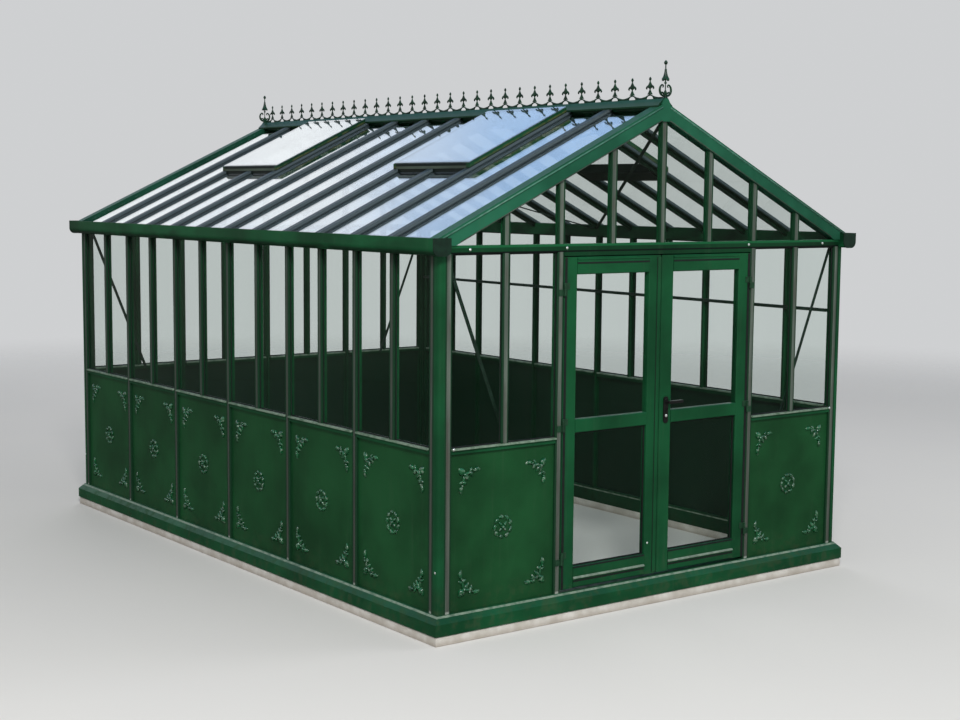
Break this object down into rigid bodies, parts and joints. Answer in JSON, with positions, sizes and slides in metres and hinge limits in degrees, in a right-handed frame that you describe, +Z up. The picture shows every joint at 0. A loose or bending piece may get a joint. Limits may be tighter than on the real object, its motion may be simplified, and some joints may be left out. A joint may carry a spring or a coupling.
{
  "type": "glass greenhouse",
  "caption": "Gabled glass greenhouse with metal lower panels, double doors, gutters, roof vents and a cast ridge cresting.",
  "frame": {"origin": "middle of the building's plan at ground level, under the kerb", "axes": "+Z up, +X along the front to the right, +Y into the building, the front faces -Y"},
  "size_m": [3.175, 4.57, 3.0379],
  "materials": {
    "green_paint": "deep green gloss powder coat",
    "cap_grey": "weathered grey-green satin",
    "panel_green": "deep green gloss painted sheet",
    "cast_green": "green painted casting",
    "wall_glass": "clear float glass",
    "roof_glass": "clear float glass",
    "kerb_concrete": "pale cast concrete",
    "end_cap_grey": "dark grey moulding",
    "brace_dark": "dark green satin paint",
    "hinge_dark": "dark green satin paint",
    "handle_black": "black satin paint"
  },
  "bodies": {
    "root": {"foundation_kerb": "kerb_concrete", "base_frame": "green_paint", "corner_posts": "green_paint", "wall_bars_front": "green_paint", "wall_bars_right": "green_paint", "wall_bars_back": "green_paint", "wall_bars_left": "green_paint", "wall_caps_front": "cap_grey", "wall_caps_right": "cap_grey", "wall_caps_back": "cap_grey", "wall_caps_left": "cap_grey", "lower_panels_sides": "panel_green", "lower_panels_ends": "panel_green", "sill_rails": "green_paint", "wall_glass_front": "wall_glass", "wall_glass_right": "wall_glass", "wall_glass_back": "wall_glass", "wall_glass_left": "wall_glass", "eave_gutter_left": "green_paint", "eave_gutter_right": "green_paint", "gutter_end_caps": "end_cap_grey", "tie_beams": "green_paint", "rake_rafters": "green_paint", "gable_bars": "green_paint", "gable_caps": "cap_grey", "gable_glass": "wall_glass", "roof_bars_left": "green_paint", "roof_bars_right": "green_paint", "roof_glass_left": "roof_glass", "roof_glass_right": "roof_glass", "vent_headers": "green_paint", "vent_stiles": "green_paint", "vent_rails": "green_paint", "vent_glass": "roof_glass", "ridge_beam": "green_paint", "gable_apex_plates": "green_paint", "ridge_cresting": "cast_green", "ridge_finials": "cast_green", "wind_braces": "brace_dark", "roof_braces": "brace_dark", "side_wall_rail": "brace_dark", "door_jambs": "green_paint", "door_head": "green_paint", "jamb_hinges": "hinge_dark"},
    "door_left": {"door_left_stiles": "green_paint", "door_left_rails": "green_paint", "door_left_glass": "wall_glass", "door_left_hinges": "hinge_dark"},
    "door_right": {"door_right_stiles": "green_paint", "door_right_rails": "green_paint", "door_right_glass": "wall_glass", "door_right_hinges": "hinge_dark", "door_handle": "handle_black"}
  },
  "joints": [
    {"name": "door_left_hinge", "type": "hinge", "parent": "root", "child": "door_left", "pos_m": [-0.7055, -2.251, 0], "axis": [0, 0, -1], "range_deg": [0, 110]},
    {"name": "door_right_hinge", "type": "hinge", "parent": "root", "child": "door_right", "pos_m": [0.7055, -2.251, 0], "axis": [0, 0, 1], "range_deg": [0, 110]}
  ]
}
